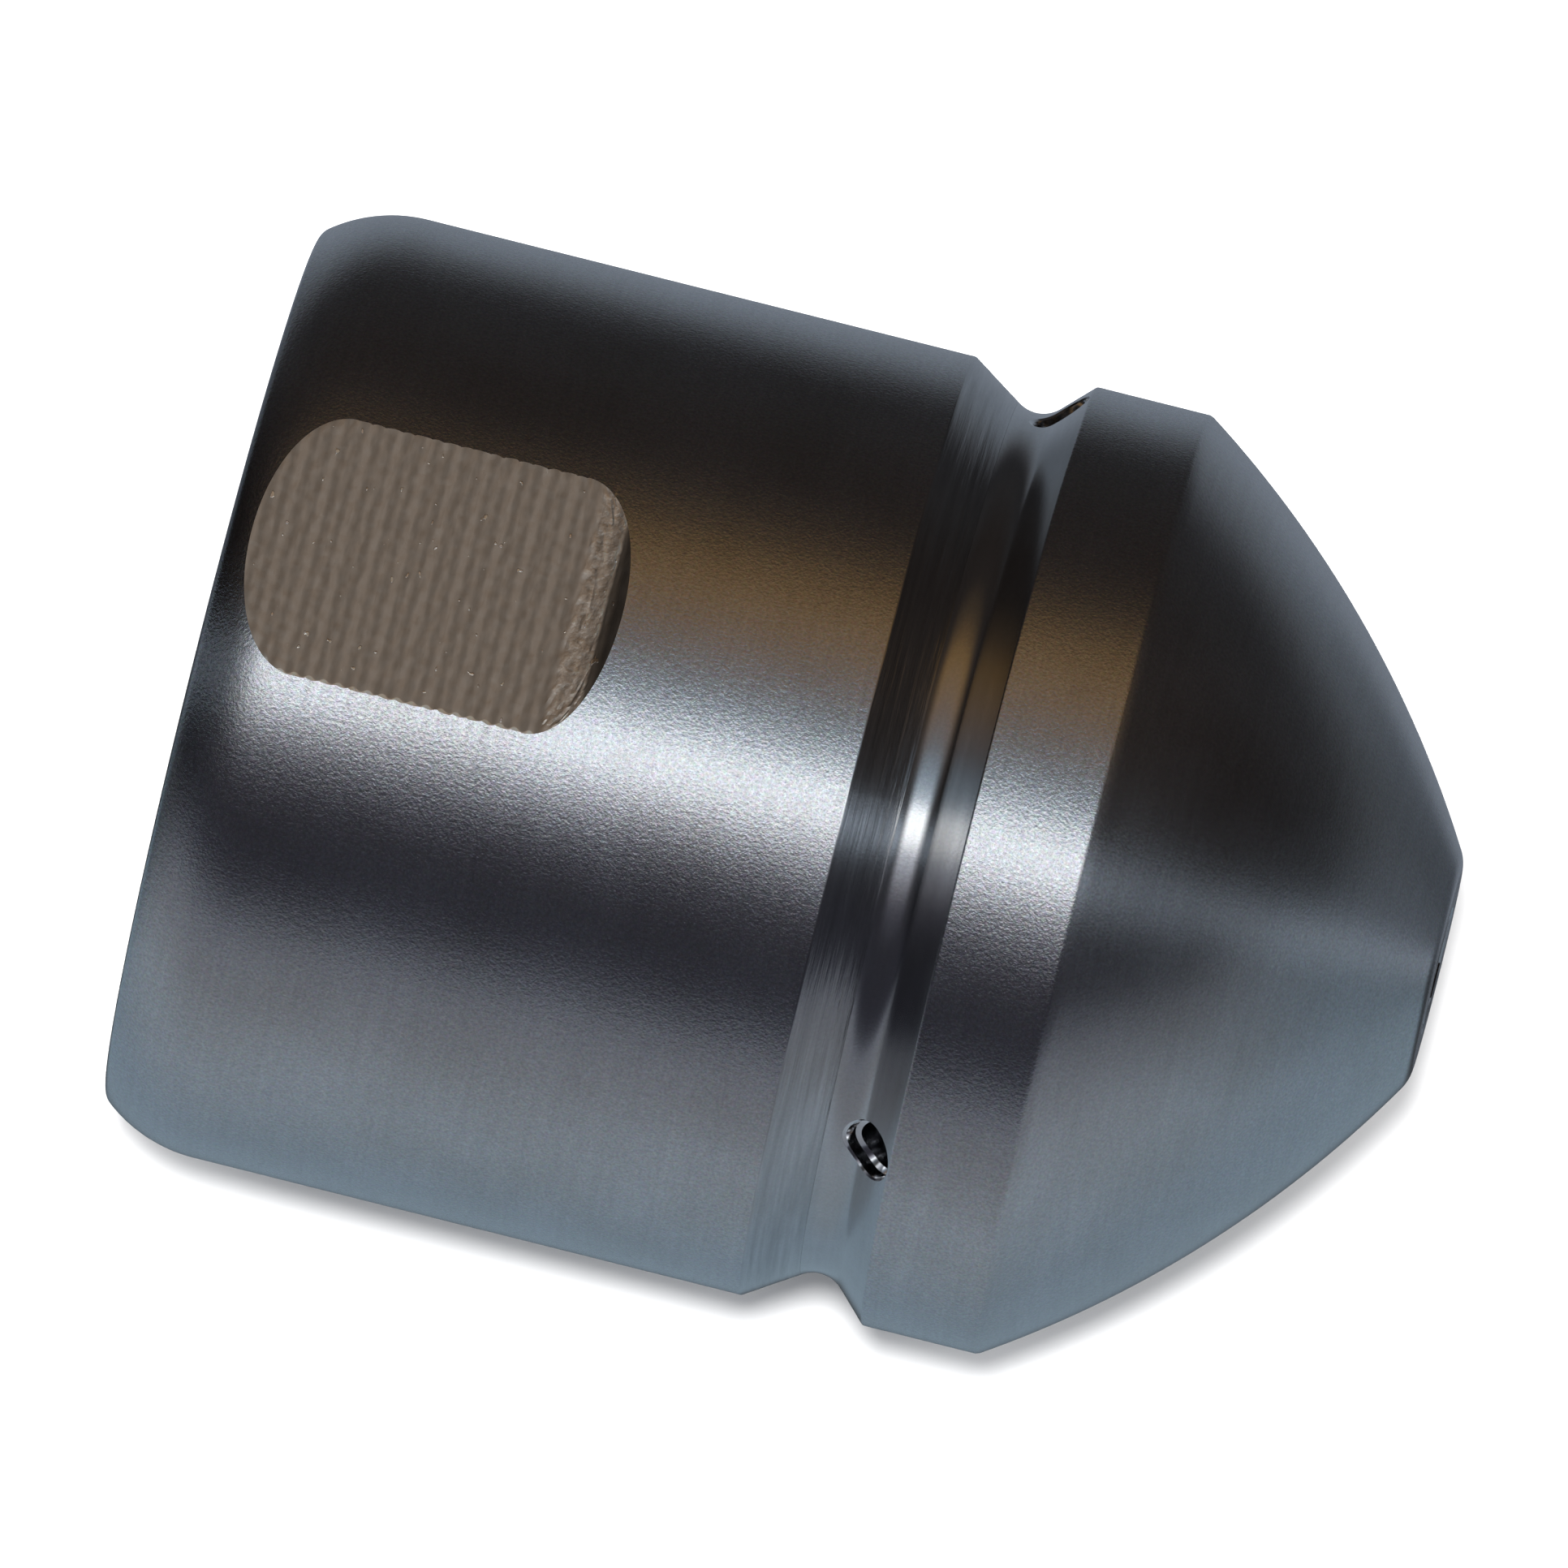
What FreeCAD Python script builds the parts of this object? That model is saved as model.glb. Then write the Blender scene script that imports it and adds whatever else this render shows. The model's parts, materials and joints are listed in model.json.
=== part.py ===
import FreeCAD, Part
import Sketcher
import math
import os

# Rear-firing jetting nozzle for a 3/8 inch hose.  The axis is X: the hose screws in at x = 0
# and the nose points to +X.  The origin is the centre of the inlet's mouth, the two spanner
# flats face +Z and -Z, and the third rear jet leaves at -Z.

# ---------------------------------------------------------------- driving dimensions, millimetres

DIMENSIONS = {
    # outside form
    "overall_length": 30.0,
    "barrel_diameter": 23.0,
    "rear_round_radius": 3.6,
    "rear_round_length": 2.38,
    "rear_edge_radius": 0.4,
    "groove_start": 15.82,
    "rear_flank_angle": 33.0,
    "front_flank_angle": 45.0,
    "root_radius": 0.8,
    "land_start": 18.8,
    "land_end": 21.6,
    "nose_radius": 27.0,
    "tip_diameter": 5.36,
    "tip_edge_radius": 1.0,
    # spanner flats, for a 22 mm spanner, whose jaws open 22.05 to 22.3; the cutter crosses the
    # barrel, so its radius leaves a ramp at the flat's front end, and its stroke is longer than
    # the flat is wide
    "across_flats": 22.05,
    "flat_length": 9.6,
    "flat_cutter_radius": 3.0,
    "flat_stroke": 7.2,
    "flat_cut_top": 12.0,
    # inlet, G 3/8: the bore is the thread's minor diameter
    "thread_bore": 14.95,
    "mouth_depth": 0.45,
    "mouth_angle": 120.0,
    "thread_end": 10.5,
    "relief_diameter": 16.9,
    "relief_end": 12.0,
    # screwed joint between barrel and head
    "spigot_bore": 16.0,
    "spigot_clearance": 0.05,
    "spigot_chamfer": 0.3,
    "seal_groove_start": 12.8,
    "seal_groove_width": 1.5,
    "seal_groove_diameter": 13.5,
    "seal_section": 1.2,
    "seal_mean_diameter": 14.74,
    # water chamber in the head
    "chamber_diameter": 10.0,
    "chamber_end": 25.5,
    "drill_point_angle": 118.0,
    # rear jets
    "jet_count": 3,
    "jet_port_diameter": 1.46,
    "jet_port_x": 18.22,
    "jet_drill_end_diameter": 8.0,
    "jet_insert_depth": 1.8,
    "jet_insert_length": 2.5,
    "jet_insert_bore": 0.9,
    "jet_insert_inlet": 1.2,
    "jet_insert_taper": 0.7,
    "insert_clearance": 0.02,
    # front jet
    "front_insert_diameter": 3.0,
    "front_insert_length": 3.2,
    "front_insert_bore": 0.8,
    "front_insert_chamfer": 0.2,
    "front_socket_flats": 1.5,
    "front_socket_depth": 1.1,
    # inlet washer
    "washer_outside": 14.7,
    "washer_inside": 10.0,
    "washer_thickness": 1.45,
}

SHEET = "dims"


def make_sheet(doc):
    """Put each driving dimension in its own aliased cell, with its name beside it."""
    sheet = doc.addObject("Spreadsheet::Sheet", SHEET)
    for row, (alias, number) in enumerate(DIMENSIONS.items(), start=1):
        sheet.set(f"A{row}", alias)
        sheet.set(f"B{row}", str(number))
        sheet.setAlias(f"B{row}", alias)
    doc.recompute()
    return sheet


# ---------------------------------------------------------------- expressions on the sheet

def dim(alias):
    return f"{SHEET}.{alias}"


def half(alias):
    return f"({SHEET}.{alias} / 2)"


def angle(alias):
    return f"({SHEET}.{alias} * 1 deg)"


BARREL_R = half("barrel_diameter")
REAR_SLOPE = f"tan({angle('rear_flank_angle')})"
FRONT_SLOPE = f"tan({angle('front_flank_angle')})"

# The two flanks of the groove would meet at this sharp vertex; the root radius blends them.
VERTEX_X = (
    f"(({dim('groove_start')} * {REAR_SLOPE} + {dim('land_start')} * {FRONT_SLOPE})"
    f" / ({REAR_SLOPE} + {FRONT_SLOPE}))"
)
ROOT_TANGENT = (
    f"({dim('root_radius')} * tan(({angle('rear_flank_angle')} + {angle('front_flank_angle')}) / 2))"
)

# Barrel and head meet where the rear flank runs into the root.
SEAM_X = f"({VERTEX_X} - {ROOT_TANGENT} * cos({angle('rear_flank_angle')}))"
SEAM_R = f"({BARREL_R} - ({SEAM_X} - {dim('groove_start')}) * {REAR_SLOPE})"
ROOT_END_X = f"({VERTEX_X} + {ROOT_TANGENT} * cos({angle('front_flank_angle')}))"
ROOT_END_R = f"({BARREL_R} - ({dim('land_start')} - {ROOT_END_X}) * {FRONT_SLOPE})"

# The jets leave square to the front flank, so they lean back by the flank's own angle.
PORT_R = f"({BARREL_R} - ({dim('land_start')} - {dim('jet_port_x')}) * {FRONT_SLOPE})"
PORT_COS = f"cos({angle('front_flank_angle')})"
PORT_SIN = f"sin({angle('front_flank_angle')})"


def value(sheet, expression):
    """The number that an expression on the sheet has now."""
    found = sheet.evalExpression(expression)
    return float(getattr(found, "Value", found))


# ---------------------------------------------------------------- sketches

def origin_plane(body, role):
    """One of the body's own origin planes, such as XY_Plane."""
    for feature in body.Origin.OriginFeatures:
        if feature.Role == role:
            return feature
    raise ValueError(f"{body.Label} has no {role}")


def new_sketch(body, name, role):
    sketch = body.newObject("Sketcher::SketchObject", name)
    sketch.AttachmentSupport = [(origin_plane(body, role), "")]
    sketch.MapMode = "FlatFace"
    return sketch


def arc_between(start, end, radius, bulge):
    """An arc from start to end, bulging left of the chord for bulge 1 and right for -1.

    A sketch keeps its arcs counter-clockwise, so the second result says whether the arc was
    turned round, with its first point at the chord's end.
    """
    chord = end - start
    middle = (start + end) / 2
    left = FreeCAD.Vector(-chord.y, chord.x, 0).normalize()
    centre = middle - left * bulge * math.sqrt(radius**2 - (chord.Length / 2) ** 2)
    turned = bulge > 0
    first, last = (end, start) if turned else (start, end)
    from_angle = math.atan2(first.y - centre.y, first.x - centre.x)
    to_angle = math.atan2(last.y - centre.y, last.x - centre.x)
    circle = Part.Circle(centre, FreeCAD.Vector(0, 0, 1), radius)
    return Part.ArcOfCircle(circle, from_angle, to_angle), turned


def place_point(sketch, edge, which, expressions):
    """Hold one end of an edge at the place that two expressions give."""
    for kind, axis, expression in zip(("DistanceX", "DistanceY"), (-2, -1), expressions):
        if expression == "0":
            sketch.addConstraint(Sketcher.Constraint("PointOnObject", edge, which, axis))
            continue
        number = value(sketch.Document.getObject(SHEET), expression)
        made = sketch.addConstraint(Sketcher.Constraint(kind, -1, 1, edge, which, number))
        sketch.setExpression(f"Constraints[{made}]", expression)


def draw_outline(sketch, corners, arcs=None):
    """Draw a closed outline through the corners, each a pair of expressions.

    arcs gives the edges that are arcs: the number of the corner that the edge leaves, then its
    radius as an expression and the side it bulges to.
    """
    arcs = arcs or {}
    sheet = sketch.Document.getObject(SHEET)
    points = [FreeCAD.Vector(value(sheet, x), value(sheet, y), 0) for x, y in corners]
    starts, ends = [], []
    for index, start in enumerate(points):
        end = points[(index + 1) % len(points)]
        turned = False
        if index in arcs:
            radius, bulge = arcs[index]
            shape, turned = arc_between(start, end, value(sheet, radius), bulge)
            edge = sketch.addGeometry(shape, False)
            made = sketch.addConstraint(
                Sketcher.Constraint("Radius", edge, value(sheet, radius))
            )
            sketch.setExpression(f"Constraints[{made}]", radius)
        else:
            edge = sketch.addGeometry(Part.LineSegment(start, end), False)
        starts.append((edge, 2 if turned else 1))
        ends.append((edge, 1 if turned else 2))
    for index, (edge, which) in enumerate(starts):
        before, before_end = ends[index - 1]
        sketch.addConstraint(Sketcher.Constraint("Coincident", before, before_end, edge, which))
        place_point(sketch, edge, which, corners[index])


# ---------------------------------------------------------------- features

def new_body(doc, label):
    body = doc.addObject("PartDesign::Body", label)
    body.Label = label
    return body


def turn(body, name, corners, arcs=None):
    """A turned solid: the outline is its half section, x along the axis and y its radius."""
    sketch = new_sketch(body, f"{name}_profile", "XY_Plane")
    draw_outline(sketch, corners, arcs)
    turned = body.newObject("PartDesign::Revolution", name)
    turned.Profile = sketch
    turned.ReferenceAxis = (sketch, ["H_Axis"])
    turned.Angle = 360
    body.Document.recompute()
    return turned


def edge_on_circle(feature, place_x, radius):
    """The name of the feature's full circular edge about X at one place and radius."""
    for number, edge in enumerate(feature.Shape.Edges, start=1):
        curve = edge.Curve
        if not isinstance(curve, Part.Circle):
            continue
        if abs(curve.Radius - radius) < 1e-3 and abs(curve.Center.x - place_x) < 1e-3:
            return f"Edge{number}"
    raise ValueError(f"{feature.Name} has no edge at x {place_x:.3f}, radius {radius:.3f}")


def round_edge(body, base, name, place_x, radius, size):
    """Round a turned edge; its place and radius are expressions, its size is an alias."""
    sheet = body.Document.getObject(SHEET)
    edge = edge_on_circle(base, value(sheet, place_x), value(sheet, radius))
    fillet = body.newObject("PartDesign::Fillet", name)
    fillet.Base = (base, [edge])
    fillet.setExpression("Radius", dim(size))
    body.Document.recompute()
    return fillet


def check_removed(before, feature):
    """A cut that points away from the solid removes nothing, and shows no error."""
    if feature.Shape.Volume > before - 1e-3:
        raise ValueError(f"{feature.Name} removed nothing")


# ---------------------------------------------------------------- the barrel

def make_nozzle_body(doc):
    """Turned barrel: inlet, relief and spigot bore inside, rear rounding and rear flank outside."""
    body = new_body(doc, "nozzle_body")
    rear_edge_r = (
        f"({BARREL_R} - {dim('rear_round_radius')}"
        f" + sqrt({dim('rear_round_radius')}^2 - {dim('rear_round_length')}^2))"
    )
    mouth_r = (
        f"({half('thread_bore')} + {dim('mouth_depth')} * tan({angle('mouth_angle')} / 2))"
    )
    corners = [
        ("0", mouth_r),
        ("0", rear_edge_r),
        (dim("rear_round_length"), BARREL_R),
        (dim("groove_start"), BARREL_R),
        (SEAM_X, SEAM_R),
        (SEAM_X, half("spigot_bore")),
        (dim("relief_end"), half("spigot_bore")),
        (dim("relief_end"), half("relief_diameter")),
        (dim("thread_end"), half("relief_diameter")),
        (dim("thread_end"), half("thread_bore")),
        (dim("mouth_depth"), half("thread_bore")),
    ]
    turned = turn(body, "barrel", corners, {1: (dim("rear_round_radius"), 1)})
    rounded = round_edge(body, turned, "rear_edge", "0", rear_edge_r, "rear_edge_radius")

    flat_z = half("across_flats")
    cutter_r = dim("flat_cutter_radius")
    climb = f"({BARREL_R} - {flat_z})"
    ramp_x = f"({dim('flat_length')} - sqrt(2 * {cutter_r} * {climb} - {climb}^2))"
    cut_climb = f"({dim('flat_cut_top')} - {flat_z})"
    top_x = f"({ramp_x} + sqrt(2 * {cutter_r} * {cut_climb} - {cut_climb}^2))"
    sketch = new_sketch(body, "flat_side", "XZ_Plane")
    draw_outline(
        sketch,
        [
            ("0", flat_z),
            (ramp_x, flat_z),
            (top_x, dim("flat_cut_top")),
            ("0", dim("flat_cut_top")),
        ],
        {1: (cutter_r, -1)},
    )
    pocket = body.newObject("PartDesign::Pocket", "spanner_flat")
    pocket.Profile = sketch
    pocket.Type = "Length"
    pocket.Midplane = True
    pocket.setExpression("Length", dim("flat_stroke"))
    doc.recompute()
    check_removed(rounded.Shape.Volume, pocket)

    second = body.newObject("PartDesign::Mirrored", "second_flat")
    second.Originals = [pocket]
    second.MirrorPlane = (origin_plane(body, "XY_Plane"), [""])
    body.Tip = second
    doc.recompute()
    check_removed(pocket.Shape.Volume, second)
    return body


# ---------------------------------------------------------------- the head

def make_jet_head(doc):
    """Turned head: spigot, groove root, front flank, land and ogive nose, bored from the rear."""
    body = new_body(doc, "jet_head")
    spigot_r = f"({half('spigot_bore')} - {dim('spigot_clearance')})"
    chamfer = dim("spigot_chamfer")
    groove_end = f"({dim('seal_groove_start')} + {dim('seal_groove_width')})"
    front_hole_r = f"({half('front_insert_diameter')} + {dim('insert_clearance')})"
    drill_end = (
        f"({dim('chamber_end')} + ({half('chamber_diameter')} - {front_hole_r})"
        f" / tan({angle('drill_point_angle')} / 2))"
    )
    corners = [
        (dim("relief_end"), half("chamber_diameter")),
        (dim("relief_end"), f"({spigot_r} - {chamfer})"),
        (f"({dim('relief_end')} + {chamfer})", spigot_r),
        (dim("seal_groove_start"), spigot_r),
        (dim("seal_groove_start"), half("seal_groove_diameter")),
        (groove_end, half("seal_groove_diameter")),
        (groove_end, spigot_r),
        (SEAM_X, spigot_r),
        (SEAM_X, SEAM_R),
        (ROOT_END_X, ROOT_END_R),
        (dim("land_start"), BARREL_R),
        (dim("land_end"), BARREL_R),
        (dim("overall_length"), half("tip_diameter")),
        (dim("overall_length"), front_hole_r),
        (drill_end, front_hole_r),
        (dim("chamber_end"), half("chamber_diameter")),
    ]
    arcs = {8: (dim("root_radius"), -1), 11: (dim("nose_radius"), 1)}
    turned = turn(body, "head", corners, arcs)
    rounded = round_edge(
        body, turned, "tip_edge", dim("overall_length"), half("tip_diameter"), "tip_edge_radius"
    )

    # One drilling runs from outside the front flank into the chamber at -Z; the pattern adds
    # the others.
    reach = f"(({PORT_R} - {half('jet_drill_end_diameter')}) / {PORT_COS})"
    port = body.newObject("PartDesign::SubtractiveCylinder", "jet_port")
    lean = 180 - value(doc.getObject(SHEET), dim("front_flank_angle"))
    port.Placement = FreeCAD.Placement(
        FreeCAD.Vector(0, 0, 0), FreeCAD.Rotation(FreeCAD.Vector(0, -1, 0), lean)
    )
    port.setExpression("Radius", half("jet_port_diameter"))
    port.setExpression("Height", f"{reach} + {dim('jet_port_diameter')}")
    port.setExpression("Placement.Base.x", f"{dim('jet_port_x')} + {reach} * {PORT_SIN}")
    port.setExpression("Placement.Base.z", f"-{half('jet_drill_end_diameter')}")
    port.setExpression("Placement.Rotation.Angle", f"180 deg - {angle('front_flank_angle')}")
    doc.recompute()
    check_removed(rounded.Shape.Volume, port)

    pattern = body.newObject("PartDesign::PolarPattern", "jet_ports")
    pattern.Originals = [port]
    pattern.Axis = (origin_plane(body, "X_Axis"), [""])
    pattern.Angle = 360
    pattern.setExpression("Occurrences", dim("jet_count"))
    body.Tip = pattern
    doc.recompute()
    check_removed(port.Shape.Volume, pattern)
    return body


def make_head_seal_ring(doc):
    """O-ring in the spigot's groove, drawn at the size it is squeezed to."""
    ring = doc.addObject("Part::Torus", "head_seal_ring")
    ring.Label = "head_seal_ring"
    ring.setExpression("Radius1", half("seal_mean_diameter"))
    ring.setExpression("Radius2", half("seal_section"))
    ring.Placement = FreeCAD.Placement(
        FreeCAD.Vector(0, 0, 0), FreeCAD.Rotation(FreeCAD.Vector(0, 1, 0), 90)
    )
    ring.setExpression(
        "Placement.Base.x", f"{dim('seal_groove_start')} + {half('seal_groove_width')}"
    )
    return ring


# ---------------------------------------------------------------- jet inserts

def make_rear_jet_insert(doc, number):
    """Hard sleeve pressed into a rear port; its bore is the jet and its inner end is coned.

    The sleeve is turned about its own X, from its inner end, and then laid along its port.
    """
    body = new_body(doc, f"rear_jet_insert_{number}")
    outside = f"({half('jet_port_diameter')} - {dim('insert_clearance')})"
    turn(
        body,
        "sleeve",
        [
            ("0", half("jet_insert_inlet")),
            ("0", outside),
            (dim("jet_insert_length"), outside),
            (dim("jet_insert_length"), half("jet_insert_bore")),
            (dim("jet_insert_taper"), half("jet_insert_bore")),
        ],
    )
    depth = f"({dim('jet_insert_depth')} + {dim('jet_insert_length')})"
    along = f"({dim('jet_port_x')} + {depth} * {PORT_SIN})"
    radial = f"({PORT_R} - {depth} * {PORT_COS})"
    round_axis = f"({number - 1} * 360 deg / {dim('jet_count')})"
    body.setExpression("Placement.Base.x", along)
    body.setExpression("Placement.Base.y", f"{radial} * sin({round_axis})")
    body.setExpression("Placement.Base.z", f"-{radial} * cos({round_axis})")
    sheet = doc.getObject(SHEET)
    body.Placement.Rotation = FreeCAD.Rotation(
        FreeCAD.Vector(1, 0, 0), math.degrees(value(sheet, f"{round_axis} / 1 rad"))
    ) * FreeCAD.Rotation(
        FreeCAD.Vector(0, 1, 0), 90 + value(sheet, dim("front_flank_angle"))
    )
    return body


def make_front_jet_insert(doc):
    """Screwed plug in the nose with a hexagon socket and one small bore, flush with the tip."""
    body = new_body(doc, "front_jet_insert")
    outside = half("front_insert_diameter")
    inner_end = f"({dim('overall_length')} - {dim('front_insert_length')})"
    chamfer = dim("front_insert_chamfer")
    plug = turn(
        body,
        "plug",
        [
            (inner_end, half("front_insert_bore")),
            (inner_end, outside),
            (f"({dim('overall_length')} - {chamfer})", outside),
            (dim("overall_length"), f"({outside} - {chamfer})"),
            (dim("overall_length"), half("front_insert_bore")),
        ],
    )
    sketch = new_sketch(body, "socket_outline", "YZ_Plane")
    sketch.setExpression(".AttachmentOffset.Base.z", dim("overall_length"))
    across_corners = f"({dim('front_socket_flats')} / cos(30 deg))"
    draw_outline(
        sketch,
        [
            (
                f"({across_corners} / 2 * cos({turn_by} deg))",
                f"({across_corners} / 2 * sin({turn_by} deg))",
            )
            for turn_by in range(0, 360, 60)
        ],
    )
    socket = body.newObject("PartDesign::Pocket", "hexagon_socket")
    socket.Profile = sketch
    socket.Type = "Length"
    socket.setExpression("Length", dim("front_socket_depth"))
    doc.recompute()
    check_removed(plug.Shape.Volume, socket)
    return body


# ---------------------------------------------------------------- inlet washer

def make_inlet_seal_washer(doc):
    """Flat washer in the relief behind the thread, resting on the end of the head's spigot."""
    body = new_body(doc, "inlet_seal_washer")
    near = f"({dim('relief_end')} - {dim('washer_thickness')})"
    turn(
        body,
        "washer",
        [
            (near, half("washer_inside")),
            (near, half("washer_outside")),
            (dim("relief_end"), half("washer_outside")),
            (dim("relief_end"), half("washer_inside")),
        ],
    )
    return body


# ---------------------------------------------------------------- build, check and export

def check_document(doc):
    for item in doc.Objects:
        if "Invalid" in item.State or "Error" in item.State:
            raise ValueError(f"{item.Name} failed: {item.State}")


def check_shape(part):
    shape = part.Shape
    if shape.isNull() or not shape.isValid():
        raise ValueError(f"{part.Label} has no valid shape")
    if len(shape.Solids) != 1:
        raise ValueError(f"{part.Label} has {len(shape.Solids)} solids, not one")


doc = FreeCAD.newDocument("jetting_nozzle")
make_sheet(doc)
parts = [
    make_nozzle_body(doc),
    make_jet_head(doc),
    make_head_seal_ring(doc),
    make_front_jet_insert(doc),
    make_inlet_seal_washer(doc),
]
parts += [make_rear_jet_insert(doc, number + 1) for number in range(DIMENSIONS["jet_count"])]
doc.recompute()

check_document(doc)
for part in parts:
    check_shape(part)

os.makedirs("parts", exist_ok=True)
for part in parts:
    part.Shape.exportStep(f"parts/{part.Label}.step")
    box = part.Shape.optimalBoundingBox(False)
    print(
        f"{part.Label}: volume {part.Shape.Volume:.2f} mm3,"
        f" x {box.XMin:.3f} to {box.XMax:.3f}, y {box.YMin:.3f} to {box.YMax:.3f},"
        f" z {box.ZMin:.3f} to {box.ZMax:.3f}"
    )
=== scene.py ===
import json
import math

import bpy
import numpy as np
from mathutils import Matrix, Vector


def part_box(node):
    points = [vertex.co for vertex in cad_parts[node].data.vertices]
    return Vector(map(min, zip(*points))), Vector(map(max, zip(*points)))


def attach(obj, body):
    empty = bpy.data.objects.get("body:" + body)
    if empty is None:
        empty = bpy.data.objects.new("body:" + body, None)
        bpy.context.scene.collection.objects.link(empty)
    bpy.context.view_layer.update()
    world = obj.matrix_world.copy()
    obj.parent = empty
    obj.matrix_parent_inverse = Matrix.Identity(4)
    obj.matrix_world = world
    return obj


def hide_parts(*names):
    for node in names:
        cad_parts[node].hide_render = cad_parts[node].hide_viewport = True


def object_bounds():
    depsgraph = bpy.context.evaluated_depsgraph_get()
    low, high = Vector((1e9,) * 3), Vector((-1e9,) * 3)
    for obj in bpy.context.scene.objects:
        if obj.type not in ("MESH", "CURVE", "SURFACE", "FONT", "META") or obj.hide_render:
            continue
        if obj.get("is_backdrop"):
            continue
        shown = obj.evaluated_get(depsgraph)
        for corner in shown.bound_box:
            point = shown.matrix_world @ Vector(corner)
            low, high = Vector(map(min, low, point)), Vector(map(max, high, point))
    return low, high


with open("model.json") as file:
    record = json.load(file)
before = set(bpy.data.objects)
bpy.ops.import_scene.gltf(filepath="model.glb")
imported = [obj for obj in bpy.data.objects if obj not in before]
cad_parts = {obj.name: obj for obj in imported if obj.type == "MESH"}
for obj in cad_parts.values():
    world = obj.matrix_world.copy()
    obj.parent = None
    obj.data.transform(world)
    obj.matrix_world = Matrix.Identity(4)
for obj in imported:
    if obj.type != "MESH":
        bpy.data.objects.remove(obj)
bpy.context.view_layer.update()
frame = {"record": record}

# ---------------------------------------------------------------- nozzle_body, the barrel
# The barrel is turned from round stainless bar and left with a fine satin finish.  A radius
# tool crosses it twice for the spanner flats, and the hose's G 3/8 thread is cut inside its
# rear end.  Sizes are millimetres from here on, and metres only where a mesh is made.

MM = 0.001
body_high = np.array(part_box("nozzle_body")[1]) / MM
barrel_r = body_high[1]
seam_x = body_high[0]
flat_z = next(m for m in frame["record"]["mounts"] if m["name"] == "upper_flat")["pos_m"][2] / MM

round_r, round_x = 3.6, 2.38
edge_r = 0.4
groove_x = 15.82
rear_flank = math.radians(33)
cutter_r, flat_end = 3.0, 9.6
ridge_pitch, ridge_height, ridge_lean = 0.357, 0.013, math.tan(math.radians(0.8))
ridge_start, crumb_height = 0.1, 0.012
corner_y = 2.755
seam_half_gap, seam_notch = 0.004, 0.006

thread_r, thread_depth, thread_pitch = 7.475, 0.856, 1.337
mouth_r, mouth_x = 8.254, 0.45
thread_end, relief_end = 10.5, 12.0
relief_r, spigot_bore_r = 8.45, 8.0


def line(start, end, steps, last=False):
    """Evenly spaced points (x, radius) from start to end; the end itself only if last is set."""
    share = np.linspace(0, 1, steps + 1)[: None if last else -1, None]
    return (1 - share) * np.array(start, float) + share * np.array(end, float)


def arc(centre, radius, start, end, steps):
    """Points centre + radius * (cos a, sin a), a from start to end in degrees, without the end."""
    angle = np.radians(np.linspace(start, end, steps + 1))[:-1]
    return np.array(centre) + radius * np.stack([np.cos(angle), np.sin(angle)], axis=1)


def smooth(value):
    """0 below 0, 1 above 1, and 3 v^2 - 2 v^3 between."""
    v = np.clip(value, 0, 1)
    return v * v * (3 - 2 * v)


def loop_faces(rows, columns):
    """Quads between neighbours of a grid whose rows and columns both close on themselves."""
    i, j = np.meshgrid(np.arange(rows), np.arange(columns), indexing="ij")
    i2, j2 = (i + 1) % rows, (j + 1) % columns
    return np.stack([i * columns + j, i2 * columns + j, i2 * columns + j2, i * columns + j2], axis=2)


def make_piece(name, points, faces, materials, regions=None, sharp=28.0):
    """A mesh object from points in millimetres and quads; regions gives each face's material."""
    used, faces = np.unique(faces.reshape(-1, 4), return_inverse=True)
    faces = faces.reshape(-1, 4)
    mesh = bpy.data.meshes.new(name)
    mesh.vertices.add(len(used))
    mesh.vertices.foreach_set("co", (points.reshape(-1, 3)[used] * MM).astype(np.float32).ravel())
    mesh.loops.add(faces.size)
    mesh.loops.foreach_set("vertex_index", faces.ravel().astype(np.int32))
    mesh.polygons.add(len(faces))
    mesh.polygons.foreach_set("loop_start", np.arange(0, faces.size, 4, dtype=np.int32))
    mesh.update(calc_edges=True)
    mesh.validate()
    for material in materials:
        mesh.materials.append(material)
    if regions is not None:
        mesh.polygons.foreach_set("material_index", regions.ravel().astype(np.int32))
    mesh.shade_smooth()
    mesh.set_sharp_from_angle(angle=math.radians(sharp))
    piece = bpy.data.objects.new(name, mesh)
    bpy.context.scene.collection.objects.link(piece)
    return piece


def soften(piece, low_x, high_x, inside_r):
    """Smooths the shading of every edge that lies inside a radius and between two places along X."""
    mesh = piece.data
    points = np.zeros(len(mesh.vertices) * 3, np.float32)
    mesh.vertices.foreach_get("co", points)
    x, y, z = points.reshape(-1, 3).T / MM
    within = (x > low_x) & (x < high_x) & (np.hypot(y, z) < inside_r)
    ends = np.zeros(len(mesh.edges) * 2, np.int32)
    mesh.edges.foreach_get("vertices", ends)
    sharp = np.zeros(len(mesh.edges), bool)
    mesh.attributes["sharp_edge"].data.foreach_get("value", sharp)
    sharp &= ~within[ends.reshape(-1, 2)].all(axis=1)
    mesh.attributes["sharp_edge"].data.foreach_set("value", sharp)


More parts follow.
